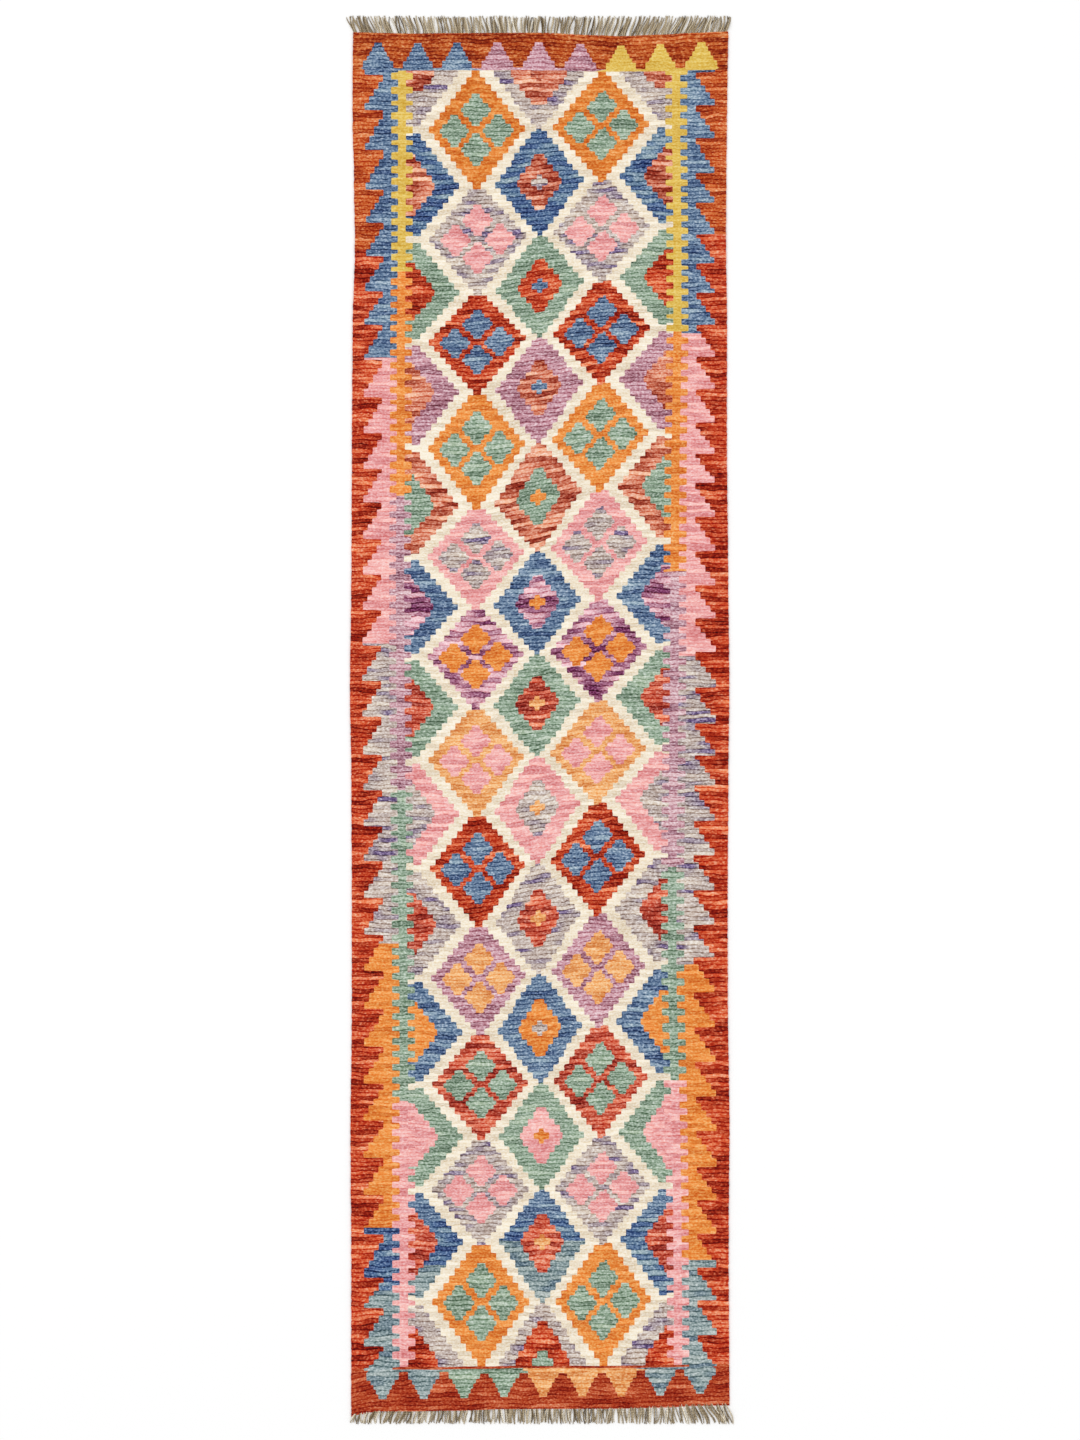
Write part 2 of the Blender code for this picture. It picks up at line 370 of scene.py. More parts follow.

# The parts of a noise's scale of 0 to 1 that the furrows' painted shade and the specks use.
FURROW_NOISE = (0.30, 0.50)
SPECK_NOISE = (0.25, 0.75)

# How far apart in the noise the bundles and the skeins are, so that no two look alike.
BUNDLE_APART = 5.3
SKEIN_APART = 97.0

WOOL_ROUGHNESS = 0.92
WOOL_SHINE = 0.15
NODE_SPACING = 200.0
YARN_NAMES = tuple(YARNS)

# The undyed warp: its shades from dark to light, its plies and their turns along a warp end, and the
# painted shade and painted light on a ply's two sides.
WARP_SHADES = ((106, 90, 66), (162, 144, 115), (202, 186, 157), (252, 244, 226))
WARP_SHADE_PLACES = (0.0, 0.35, 0.65, 1.0)
PLIES = 2
PLY_TURNS = 7.0
PLY_PAINTED_LIGHT = (0.72, 1.16)


# ==== the chart ====
def row_lines(column):
    """The heights of the row lines above the bottom end, along one column of diamonds."""
    lines = list(np.linspace(0.0, BOTTOM_BAND_LENGTH, BOTTOM_BAND_ROWS + 1))
    for number, diamond in enumerate(DIAMONDS):
        rows = ROWS_PER_DIAMOND + (ROWS_PER_STEP if number == len(DIAMONDS) - 1 else 0)
        height = getattr(diamond, column) * MM
        start = lines[-1]
        lines += [start + height * (row + 1) / rows for row in range(rows)]
    lines += list(np.linspace(lines[-1], CLOTH_LENGTH, TOP_BAND_ROWS + 1))[1:]
    return np.array(lines)


ROW_LINES = {side: row_lines(side) for side in ("left", "right")}


def reach_of_lines():
    """How far out from the middle the column lines of one side are."""
    field = MIDDLE_COLUMN_WIDTH / 2 + FIELD_CELL * np.arange(FIELD_REACH + 1)
    comb = field[-1] + np.cumsum(COMB_WIDTHS)
    saw = comb[-1] + SAW_NARROWEST + SAW_STEP_WIDTH * np.arange(SAW_COLUMNS)
    margin = np.linspace(saw[-1], CLOTH_WIDTH / 2 - SELVEDGE_WIDTH, MARGIN_COLUMNS + 1)[1:]
    return np.concatenate((field, comb, saw, margin, (CLOTH_WIDTH / 2,)))


def band_lines(band):
    """The column lines through an end band, peak by peak."""
    lines = [-CLOTH_WIDTH / 2]
    for number in range(PEAKS_PER_BAND):
        middle = band.first + number * band.pitch
        columns = BAND_MARGIN_COLUMNS if number == 0 else GAP_COLUMNS
        lines += list(np.linspace(lines[-1], middle - PEAK_REACH[-1], columns + 1))[1:]
        lines += [middle - reach for reach in PEAK_REACH[-2::-1]]
        lines += [middle + reach for reach in PEAK_REACH]
    lines += list(np.linspace(lines[-1], CLOTH_WIDTH / 2, BAND_MARGIN_COLUMNS + 1))[1:]
    return np.array(lines)


def lay_out_columns():
    """Where the column lines cross each row line of a straight and even cloth."""
    across = np.empty((ROWS + 1, COLUMNS + 1))
    across[:] = np.concatenate((-reach_of_lines()[::-1], reach_of_lines()))
    across[:BOTTOM_BAND_ROWS - 1] = band_lines(BOTTOM_PEAKS)
    across[-TOP_BAND_ROWS:] = band_lines(TOP_PEAKS)
    return across


ACROSS = lay_out_columns()


def side_of(column):
    """Which half of the rug a column is in, counted from the middle column."""
    return "left" if column < 0 else "right"


def yarn_at(changes, height):
    """The yarn that a border uses at a height, and the number of its change."""
    number = max(index for index, (above, _) in enumerate(changes) if height >= above)
    return changes[number][1], number


def step_level(field_row):
    """How many steps a big diamond has widened by at a row, and the number of that diamond."""
    step = field_row // ROWS_PER_STEP
    diamond = min(step // STEPS_PER_DIAMOND, len(DIAMONDS) - 1)
    step -= diamond * STEPS_PER_DIAMOND
    return WIDEST_STEP - abs(step - WIDEST_STEP), diamond


def outline_reach(level, inwards):
    """How far an ivory outline reaches from its diamond's middle column, towards one side."""
    reach = OUTLINE_TIP_REACH + CELLS_PER_STEP * level
    return reach - 1 if inwards and level >= NARROWED_STEP else reach


def nest_number(field_row):
    """The nested diamond that a row is in. They change where the outlines meet."""
    half_step = ROWS_PER_STEP / 2
    return int((field_row + 0.5 + ROWS_PER_DIAMOND / 2 - half_step) // ROWS_PER_DIAMOND)


def in_spur(field_row):
    """Whether a row is one of those where an outline's side tip runs on into the border."""
    return step_level(field_row)[0] == WIDEST_STEP


def flower_number(column, row_in_diamond):
    """The number of the flower that covers a cell of a big diamond, or None."""
    for number, (middle, first_row) in enumerate(FLOWER_PLACES):
        row = row_in_diamond - first_row
        if 0 <= row < FLOWER_ROWS:
            if abs(column - middle) <= FLOWER_REACH[row // FLOWER_ROWS_PER_STEP]:
                return number
    return None


def diamond_cell(column, field_row, diamond, side):
    """A cell inside a big diamond: its ground, or one of its four flowers."""
    flower = flower_number(column, field_row - diamond * ROWS_PER_DIAMOND)
    if flower is None:
        return DIAMONDS[diamond].ground, ("ground", side, diamond)
    return DIAMONDS[diamond].flower, ("flower", side, diamond, flower)


def nest_yarn(number, rows_off, where):
    """The yarn of a nested diamond's outer part. One of them changes from row to row."""
    if NESTS[number].outer != "sea":
        return NESTS[number].outer
    if rows_off > BLUE_ROWS_ABOVE:
        return "blue"
    return "royal" if rows_off > ROYAL_ROWS_ABOVE[where] else "sea"


def rows_off_middle(number, field_row):
    """How many rows above a nested diamond's middle row a row is."""
    return field_row - number * ROWS_PER_DIAMOND - 1


def inner_steps(number):
    """The steps of a nested diamond's inner part, which are more in the half ones at the ends."""
    if number == 0:
        return BOTTOM_INNER_REACH
    return TOP_INNER_REACH if number == len(NESTS) - 1 else INNER_REACH


def inner_reach(steps, number, field_row):
    """How many cells a nested diamond's inner part reaches out at a row, or None past its tips."""
    steps_off = abs(field_row // ROWS_PER_STEP - number * STEPS_PER_DIAMOND)
    return steps[steps_off] if steps_off < len(steps) else None


def nest_cell(column, field_row):
    """A cell between the two columns of diamonds: a nested diamond with a cross in it."""
    number = nest_number(field_row)
    nest = NESTS[number]
    rows_off = rows_off_middle(number, field_row)
    arms = BOTTOM_CROSS_REACH if number == 0 else CROSS_REACH
    if abs(rows_off) < len(arms) and abs(column) <= arms[abs(rows_off)]:
        return nest.cross, ("cross", number)
    reach = inner_reach(inner_steps(number), number, field_row)
    tip_rows = (len(INNER_REACH) - 1) * ROWS_PER_STEP + 1 + INNER_TIP_ROWS
    if reach is None and abs(rows_off) <= tip_rows:
        reach = INNER_TIP_REACH
    if reach is not None and abs(column) <= reach:
        return nest.inner, ("inner", number)
    return nest_yarn(number, rows_off, "middle"), ("outer", number)


def half_nest_cell(column, field_row, side):
    """A cell between a column of diamonds and its border: half of a nested diamond."""
    number = nest_number(field_row)
    nest = NESTS[number]
    rows_off = rows_off_middle(number, field_row)
    steps = TOP_HALF_INNER_REACH if number == len(NESTS) - 1 else HALF_INNER_REACH
    reach = inner_reach(steps, number, field_row)
    if reach is not None and FIELD_REACH - abs(column) < reach:
        return nest.inner, ("half inner", side, number)
    return nest_yarn(number, rows_off, side), ("half outer", side, number)


def field_cell(column, field_row):
    """A cell of the field, from the two columns of diamonds and what lies between."""
    side = side_of(column)
    from_centre = abs(column) - DIAMOND_CENTRE
    if from_centre > 0:
        field_row = max(field_row - BORDER_LAG[side], 0)
    level, diamond = step_level(field_row)
    if abs(from_centre) <= DIAMOND_TIP_REACH + CELLS_PER_STEP * level:
        sign = -1 if side == "left" else 1
        return diamond_cell(from_centre * sign, field_row, diamond, side)
    if -outline_reach(level, True) <= from_centre <= outline_reach(level, False):
        return "ivory", ("outline",)
    if from_centre < 0:
        return nest_cell(column, field_row)
    if in_spur(field_row):
        return "ivory", ("outline",)
    return half_nest_cell(column, field_row, side)


def count_teeth(teeth, side, row):
    """How many of a side's teeth are below the middle of a row, with a share of the next one."""
    counts, heights = zip(*teeth[side])
    middle = (ROW_LINES[side][row] + ROW_LINES[side][row + 1]) / 2
    return float(np.interp(middle, heights, counts))


def in_comb_tooth(side, row):
    """Whether a row crosses a comb's tooth rather than the gap between two."""
    count = count_teeth(COMB_TEETH, side, row)
    return abs(count - round(count)) < COMB_TOOTH_SHARE / 2


def saw_reach(side, row):
    """How many steps out a saw tooth is at a row. Each tooth steps out from its top downwards."""
    upwards = count_teeth(SAW_TEETH, side, row) % 1.0
    return SAW_STEPS - int(upwards * SAW_COLUMNS)


def saw_cell(side, row):
    """A cell of a saw-toothed stripe."""
    yarn = yarn_at(SAWS[side], ROW_LINES[side][row])[0]
    return yarn, ("saw", side, yarn, int(count_teeth(SAW_TEETH, side, row)) // TEETH_PER_SKEIN)


def border_cell(column, row, field_row):
    """A cell of one of the long borders: a comb, saw teeth behind it, and the plain margin."""
    side = side_of(column)
    outward = abs(column) - FIELD_REACH - 1
    height = ROW_LINES[side][row]
    if outward == 1 or outward in (0, 2) and in_comb_tooth(side, row):
        yarn, change = yarn_at(COMBS[side], height)
        return yarn, ("comb", side, change)
    if outward == 0:
        lagging = field_row - BORDER_LAG[side]
        if any(in_spur(lagging + off) for off in (-1, 0, 1)):
            return "ivory", ("outline",)
        return half_nest_cell(math.copysign(FIELD_REACH, column), lagging, side)
    if outward - len(COMB_WIDTHS) <= saw_reach(side, row):
        return saw_cell(side, row)
    yarn, change = yarn_at(MARGINS[side], height)
    return yarn, ("margin", side, change)


def joining_yarn(band, across):
    """The yarn of the line that joins an end band's peaks, or None beyond the outermost ones."""
    last = band.first + (PEAKS_PER_BAND - 1) * band.pitch
    if band.first - PEAK_REACH[-1] < across < last + PEAK_REACH[-1]:
        number = int(round((across - band.first) / band.pitch))
        return band.yarns[min(max(number, 0), PEAKS_PER_BAND - 1)]
    return None


def band_cell(band, end, column, row, rows_out):
    """A cell of an end band: its row of peaks and the line that joins them, or the ground."""
    if rows_out == 0:
        corners = ACROSS[row:row + 2, column + REACH:column + REACH + 2]
        yarn = joining_yarn(band, float(corners.mean()))
        if yarn is not None:
            return yarn, ("joining", end, yarn)
    number, place = divmod(column + REACH - BAND_MARGIN_COLUMNS, PEAK_COLUMNS + GAP_COLUMNS)
    rows_from_tip = len(PEAK_STEPS) - rows_out
    if 0 <= number < PEAKS_PER_BAND and 0 <= rows_from_tip and rows_out > 0:
        if abs(place - len(PEAK_REACH) + 1) <= PEAK_STEPS[rows_from_tip]:
            return band.yarns[number], ("peak", end, number)
        if rows_out == 1 and place >= PEAK_COLUMNS and band.thick_from <= number < band.thick_to:
            return band.yarns[number], ("joining", end, band.yarns[number])
    return band.ground, ("band", end)


def chart_cell(column, row):
    """The yarn in a cell, and what it is part of. Columns count from the middle, rows from 0."""
    field_row = row - BOTTOM_BAND_ROWS
    if field_row >= FIELD_ROWS:
        return band_cell(TOP_PEAKS, "top", column, row, field_row - FIELD_ROWS)
    if field_row == -1:
        if FIELD_REACH + len(COMB_WIDTHS) < abs(column) <= REACH - MARGIN_COLUMNS - 1:
            return saw_cell(side_of(column), row)
        return "madder", ("band", "line")
    if field_row < 0:
        return band_cell(BOTTOM_PEAKS, "bottom", column, row, -2 - field_row)
    if abs(column) <= FIELD_REACH:
        return field_cell(column, field_row)
    return border_cell(column, row, field_row)


# ==== making a mesh by hand ====
def select_only(*pieces):
    """Make these pieces the only selected ones, and the first the active one."""
    bpy.ops.object.select_all(action="DESELECT")
    for piece in pieces:
        piece.select_set(True)
    bpy.context.view_layer.objects.active = pieces[0]


def values_of(items, field, width=1, kind=float):
    """One value of each of a mesh's items, or a row of so many values for each."""
    flat = np.empty(len(items) * width, dtype=kind)
    items.foreach_get(field, flat)
    return flat if width == 1 else flat.reshape(-1, width)


def points_of(mesh):
    """A mesh's points as an array with a row for each."""
    return values_of(mesh.vertices, "co", 3)


def set_points(mesh, points):
    """Put a mesh's points in place."""
    mesh.vertices.foreach_set("co", np.ascontiguousarray(points).ravel())
    mesh.update()


def add_face_values(mesh, name, kind, values):
    """Keep a value with each face of a mesh, under a name that materials can read."""
    attribute = mesh.attributes.new(name, kind, "FACE")
    attribute.data.foreach_set("value", np.asarray(values))


def take_face_values(mesh, name):
    """Take away the whole numbers kept with each face under a name, and return them."""
    attribute = mesh.attributes[name]
    values = values_of(attribute.data, "value", kind=np.int32)
    mesh.attributes.remove(attribute)
    return values


def faces_under(mesh):
    """Which of a cloth's faces look down at the floor."""
    return values_of(mesh.polygons, "normal", 3)[:, 2] < -0.5


def start_on_edges(piece):
    """Set a piece to be edited by its edges, with none selected yet."""
    select_only(piece)
    bpy.ops.object.mode_set(mode="EDIT")
    bpy.ops.mesh.select_mode(type="EDGE")
    bpy.ops.mesh.select_all(action="DESELECT")
    bpy.ops.object.mode_set(mode="OBJECT")


# ==== the cloth's shape ====
def frame_edges():
    """The cloth's selvedges and woven ends, as (place along the edge, place of the edge)."""
    x, y = points_of(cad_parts["kilim"].data)[:, :2].T
    along_x, along_y = np.stack((x, y), axis=1), np.stack((y, x), axis=1)
    edges = {"left": along_y[x < CLOTH_LOW.x + SELVEDGE_BAND],
             "right": along_y[x > CLOTH_HIGH.x - SELVEDGE_BAND],
             "bottom": along_x[y < CLOTH_LOW.y + END_BAND],
             "top": along_x[y > CLOTH_HIGH.y - END_BAND]}
    return {name: edge[np.argsort(edge[:, 0])] for name, edge in edges.items()}


EDGES = frame_edges()
NOMINAL_BOTTOM = float(np.median(EDGES["bottom"][:, 1]))
NOMINAL_TOP = float(np.median(EDGES["top"][:, 1]))


def edge_at(name, places):
    """Where an edge of the cloth is, at places along it."""
    return np.interp(places, EDGES[name][:, 0], EDGES[name][:, 1])


def smooth_share(values):
    """From 0 to 1, easing at both ends."""
    share = np.clip(values, 0.0, 1.0)
    return share * share * (3.0 - 2.0 * share)


def ripple(dice, across, along, waves):
    """A smooth wandering from about -1 to 1 over the cloth, made of a few crossing waves."""
    lengths_across, lengths_along = waves
    total = np.zeros_like(across)
    for _ in range(WAVES_PER_RIPPLE):
        wave_across = dice.uniform(*lengths_across) * dice.choice((-1, 1))
        wave_along = dice.uniform(*lengths_along)
        phase = dice.uniform(0.0, 2.0 * math.pi)
        total += np.sin(2.0 * math.pi * (across / wave_across + along / wave_along) + phase)
    return total / math.sqrt(WAVES_PER_RIPPLE) / HIGHEST_RIPPLE


def guide_lines():
    """The heights of the diamonds' middles, and where each of the four guide lines is at them."""
    heights = []
    for number in range(len(DIAMONDS)):
        row_line = BOTTOM_BAND_ROWS + int((number + 0.5) * ROWS_PER_DIAMOND)
        heights.append((ROW_LINES["left"][row_line] + ROW_LINES["right"][row_line]) / 2)
    names = ("left_comb", "left_middle", "right_middle", "right_comb")
    return heights, [[getattr(diamond, name) * MM for diamond in DIAMONDS] for name in names]


def place_across(across, along, y):
    """Where points of a straight cloth are across this one, which its selvedges and guides bend."""
    heights, guides = guide_lines()
    outwards = (CENTRE_DISTANCE, SPINE_MIDDLE, CLOTH_WIDTH / 2)
    lines = tuple(-line for line in reversed(outwards)) + outwards
    places = [CLOTH_MIDDLE.x + np.interp(along, heights, guide) for guide in guides]
    places = [edge_at("left", y)] + places + [edge_at("right", y)]
    x = np.zeros_like(across)
    for low, high, start, end in zip(lines, lines[1:], places, places[1:]):
        share = (across - low) / (high - low)
        x = np.where((share >= 0.0) & (share <= 1.0), start + (end - start) * share, x)
    return x


def place_along(across, along):
    """Where points of a straight cloth are along this one, whose two woven ends are uneven."""
    end_x = CLOTH_MIDDLE.x + across
    bottom_off = edge_at("bottom", end_x) - NOMINAL_BOTTOM
    top_off = edge_at("top", end_x) - NOMINAL_TOP
    y = NOMINAL_BOTTOM + along * (NOMINAL_TOP - NOMINAL_BOTTOM) / CLOTH_LENGTH
    y += bottom_off * (1.0 - smooth_share(along / BOTTOM_EASING))
    y += top_off * (1.0 - smooth_share((CLOTH_LENGTH - along) / TOP_EASING))
    return y


def corner_pull(yarns):
    """Which way to pull each crossing to round the corners of a figure, and the slits.

    A corner is where one of the four cells round a crossing has a yarn that the other three have not,
    and a slit is where the yarn changes from one column to the next both above and below.
    """
    cells = np.pad(yarns, 1, mode="edge")
    around = {(sy, sx): cells[(sy + 1) // 2:, (sx + 1) // 2:][:ROWS + 1, :COLUMNS + 1]
              for sy in (-1, 1) for sx in (-1, 1)}
    pull = np.zeros((ROWS + 1, COLUMNS + 1, 2))
    for (sy, sx), odd in around.items():
        others = [cell for place, cell in around.items() if place != (sy, sx)]
        same = (others[0] == others[1]) & (others[1] == others[2]) & (others[0] != odd)
        pull[same] = (sx, sy)
    slit = (around[(1, -1)] != around[(1, 1)]) & (around[(-1, -1)] != around[(-1, 1)])
    return pull * CORNER_ROUNDING, slit


def lay_cloth(column_line, row_line, yarns):
    """The place of each crossing of a column line and a row line on the rug as it lies."""
    dice = random.Random(RANDOM_SEED)
    noise = np.random.default_rng(RANDOM_SEED)
    across = ACROSS[row_line, column_line]
    left, right = ROW_LINES["left"][row_line], ROW_LINES["right"][row_line]
    along = left + (right - left) * smooth_share((across + SLANT_WIDTH / 2) / SLANT_WIDTH)

    inside_selvedges = 1.0 - np.abs(across / CLOTH_WIDTH * 2) ** SELVEDGE_FADE
    inside = np.sin(math.pi * row_line / ROWS) ** END_FADE * inside_selvedges
    along = along + WEFT_WANDER * ripple(dice, across, along, WEFT_WAVES) * inside

    y = place_along(across, along)
    x = place_across(across, along, y)
    pull, slit = corner_pull(yarns)
    x += KNOT_JITTER * noise.uniform(-1, 1, x.shape) * inside + pull[row_line, column_line, 0]
    y += KNOT_JITTER * noise.uniform(-1, 1, y.shape) * inside + pull[row_line, column_line, 1]
    selvedge = (column_line == 0) | (column_line == COLUMNS)
    x += SELVEDGE_JITTER * noise.uniform(-1, 1, x.shape) * selvedge

    lift = 0.5 + 0.5 * np.clip(ripple(dice, across, along, LIFT_WAVES), -1, 1)
    z = CLOTH_THICKNESS + LARGEST_LIFT * lift
    z += BEAT_RELIEF * noise.uniform(-1, 1, z.shape) * inside
    z += SELVEDGE_RISE * (np.abs(across) > CLOTH_WIDTH / 2 - RAISED_EDGE_WIDTH)
    z -= SLIT_DIP * slit[row_line, column_line]
    return np.stack((x, y, z), axis=1)


def add_weave_uv(mesh, column_line, row_line):
    """The map that streaks follow: metres across, and metres along counted by rows."""
    across = ACROSS[row_line, column_line] + CLOTH_WIDTH / 2
    along = row_line * ROW_PITCH
    corners = values_of(mesh.loops, "vertex_index", kind=np.int32)
    layer = mesh.uv_layers[0]
    layer.name = "weave"
    layer.data.foreach_set("uv", np.stack((across[corners], along[corners]), axis=1).ravel())


def spare_back_edges(mesh):
    """Which edges are of the row lines in the underside's field, but for one line in three."""
    corners = values_of(mesh.loops, "vertex_index", kind=np.int32)
    edges = values_of(mesh.loops, "edge_index", kind=np.int32)
    under = np.repeat(faces_under(mesh), values_of(mesh.polygons, "loop_total", kind=np.int32))
    faces_under_edge = np.bincount(edges[under], minlength=len(mesh.edges))

    weave = values_of(mesh.uv_layers["weave"].data, "uv", 2)
    row_of_point = np.zeros(len(mesh.vertices), dtype=int)
    row_of_point[corners] = np.rint(weave[:, 1] / ROW_PITCH).astype(int)
    first, last = row_of_point[values_of(mesh.edges, "vertices", 2, np.int32)].T
    in_field = (first > BOTTOM_BAND_ROWS) & (first < ROWS - TOP_BAND_ROWS)
    return (faces_under_edge == 2) & (first == last) & in_field & (first % ROWS_PER_STEP != 0)


def thin_the_back(cloth):
    """Leave one row line in three on the underside, which needs no finer shape."""
    spare = spare_back_edges(cloth.data)
    start_on_edges(cloth)
    cloth.data.edges.foreach_set("select", spare)
    bpy.ops.object.mode_set(mode="EDIT")
    bpy.ops.mesh.dissolve_edges(use_verts=True)
    bpy.ops.object.mode_set(mode="OBJECT")


def chart_all():
    """The chart as two grids, by row and column: each cell's yarn number and its skein."""
    yarns = np.zeros((ROWS, COLUMNS), dtype=int)
    skeins = np.zeros((ROWS, COLUMNS))
    known = {}
    for row in range(ROWS):
        for column in range(COLUMNS):
            yarn, part = chart_cell(column - REACH, row)
            yarns[row, column] = YARN_NAMES.index(yarn)
            skeins[row, column] = known.setdefault(part, len(known))
    golden = (math.sqrt(5.0) - 1.0) / 2.0
    return yarns, (skeins * golden) % 1.0


def dress_cloth(mesh, yarns, skeins):
    """Give each face the yarn that the chart has at its place, from both sides."""
    for name in YARN_NAMES:
        mesh.materials.append(wool(name, YARNS[name]))
    row_at = take_face_values(mesh, "row")
    column_at = take_face_values(mesh, "column")
    in_field = (row_at >= BOTTOM_BAND_ROWS) & (row_at < ROWS - TOP_BAND_ROWS)
    middle_row = row_at // ROWS_PER_STEP * ROWS_PER_STEP + 1
    row_at = np.where(faces_under(mesh) & in_field, middle_row, row_at)
    mesh.polygons.foreach_set("material_index", yarns[row_at, column_at])
    add_face_values(mesh, "skein", "FLOAT", skeins[row_at, column_at])
    mesh.update()


def make_cloth():
    """The woven cloth: a grid with a face for each cell of the chart, laid out and thickened."""
    bpy.ops.mesh.primitive_grid_add(x_subdivisions=COLUMNS, y_subdivisions=ROWS, size=2.0)
    cloth = bpy.context.active_object
    cloth.name = "woven_cloth"
    mesh = cloth.data
    start = points_of(mesh)
    column_line = np.rint((start[:, 0] + 1.0) / 2.0 * COLUMNS).astype(int)
    row_line = np.rint((start[:, 1] + 1.0) / 2.0 * ROWS).astype(int)
    add_weave_uv(mesh, column_line, row_line)

    corners = np.array([polygon.vertices[:] for polygon in mesh.polygons])
    for name, line in (("column", column_line), ("row", row_line)):
        add_face_values(mesh, name, "INT", line[corners].min(axis=1).astype(np.int32))
    yarns, skeins = chart_all()
    set_points(mesh, lay_cloth(column_line, row_line, yarns))

    body = cloth.modifiers.new("body", "SOLIDIFY")
    body.thickness = CLOTH_THICKNESS
    body.offset = -1.0
    body.use_even_offset = False
    select_only(cloth)
    bpy.ops.object.modifier_apply(modifier=body.name)
    thin_the_back(cloth)
    dress_cloth(cloth.data, yarns, skeins)
    select_only(cloth)
    bpy.ops.object.shade_smooth_by_angle(angle=math.radians(CLOTH_SHARP_ANGLE))
    return cloth


# ==== materials ====
def linear(display):
    """A display colour of 0 to 255 as the linear values that a shader takes."""
    def channel(value):
        share = value / 255.0
        return share / 12.92 if share <= 0.04045 else ((share + 0.055) / 1.055) ** 2.4
    return tuple(channel(value) for value in display) + (1.0,)


def feed(tree, socket, value):
    """Give a node's socket its value: a fixed one, or the one that another node's socket has."""
    if isinstance(value, bpy.types.NodeSocket):
        tree.links.new(value, socket)
    else:
        socket.default_value = value


def add_node(tree, kind, **inputs):
    """A node of a material, fed and laid to the right of those made before it."""
    node = tree.nodes.new(kind)
    node.location = (NODE_SPACING * len(tree.nodes), 0.0)
    for name, value in inputs.items():
        feed(tree, node.inputs[name], value)
    return node


def add_maths(tree, operation, first, second=0.0):
    """A sum, product or the like of two sockets or numbers. It returns the result's socket."""
    node = add_node(tree, "ShaderNodeMath")
    node.operation = operation
    for socket, value in zip(node.inputs, (first, second)):
        feed(tree, socket, value)
    return node.outputs[0]


def add_noise(tree, vector, detail=1.0):
    """A noise that reads a scaled vector. It returns the noise's socket."""
    node = add_node(tree, "ShaderNodeTexNoise", Vector=vector, Scale=1.0, Detail=detail, Roughness=0.5)
    return node.outputs["Fac"]


def add_range(tree, value, source, target):
    """A value carried from one range to another and held there. It returns the result's socket."""
    limits = dict(zip(("From Min", "From Max", "To Min", "To Max"), source + target))
    return add_node(tree, "ShaderNodeMapRange", Value=value, **limits).outputs["Result"]


def add_scaled(tree, across, along, skein, sizes):
    """The weave's two ways divided by a pattern's sizes, with the skein setting it apart."""
    x = add_maths(tree, "DIVIDE", across, sizes[0])
    y = add_maths(tree, "DIVIDE", along, sizes[1])
    return add_node(tree, "ShaderNodeCombineXYZ", X=x, Y=y, Z=skein).outputs["Vector"]


def add_tones(tree, value, positions, tones):
    """A ramp through tones given in display values. It returns the colour's socket."""
    node = add_node(tree, "ShaderNodeValToRGB", Fac=value)
    elements = node.color_ramp.elements
    while len(elements) < len(tones):
        elements.new(0.5)
    for element, position, display in zip(elements, positions, tones):
        element.position = position
        element.color = linear(display)
    return node.outputs["Color"]


def add_bump(tree, shader, height, strength, distance):
    """Raise a material's surface by a pattern."""
    bump = add_node(tree, "ShaderNodeBump", Height=height, Strength=strength, Distance=distance)
    tree.links.new(bump.outputs["Normal"], shader.inputs["Normal"])


def start_wool(name, map_name):
    """A dull wool: its material, its shader, the two ways of the map it follows, and its skein."""
    material = bpy.data.materials.new(name)
    material.use_nodes = True
    tree = material.node_tree
    shader = tree.nodes["Principled BSDF"]
    shader.inputs["Roughness"].default_value = WOOL_ROUGHNESS
    shader.inputs["Specular IOR Level"].default_value = WOOL_SHINE
    place = add_node(tree, "ShaderNodeUVMap")
    place.uv_map = map_name
    ways = add_node(tree, "ShaderNodeSeparateXYZ", Vector=place.outputs["UV"])
    skein = add_node(tree, "ShaderNodeAttribute")
    skein.attribute_name = "skein"
    return material, shader, ways.outputs["X"], ways.outputs["Y"], skein.outputs["Fac"]


def add_bundles(tree, across, along, skein, bundle):
    """Bundles of wefts that wander as they cross the rug: each one's number, and the place in it."""
    wander = add_noise(tree, add_scaled(tree, across, along, skein, (WANDER_ACROSS, WANDER_ALONG)))
    bent = add_maths(tree, "MULTIPLY", wander, WANDER_BUNDLES)
    straight = add_maths(tree, "DIVIDE", along, bundle)
    count = add_maths(tree, "ADD", straight, bent)
    number = add_maths(tree, "FLOOR", count)
    spread = add_maths(tree, "MULTIPLY", number, BUNDLE_APART)
    place = add_maths(tree, "FRACT", count)
    return spread, place


def add_furrow_shade(tree, across, bundle, place, skein, depth):
    """Painted shade in the furrows between bundles of wefts, as the power by which it darkens and deepens
    the dye.
    """
    at = add_scaled(tree, across, bundle, skein, (FURROW_ACROSS, FURROW_BUNDLES))
    noise = add_noise(tree, at, detail=0.0)
    shade_depth = add_range(tree, noise, FURROW_NOISE, (FAINTEST_FURROW_SHADE * depth, depth))
    side = add_maths(tree, "SUBTRACT", place, 0.5)
    from_middle = add_maths(tree, "ABSOLUTE", side)
    # Shade is painted in from this share of the way out, darkest at each bundle's edge.
    edge = add_range(tree, from_middle, (FURROW_START / 2, 0.5), (0.0, 1.0))
    shadow = add_maths(tree, "MULTIPLY", shade_depth, edge)
    return add_maths(tree, "ADD", 1.0, shadow)


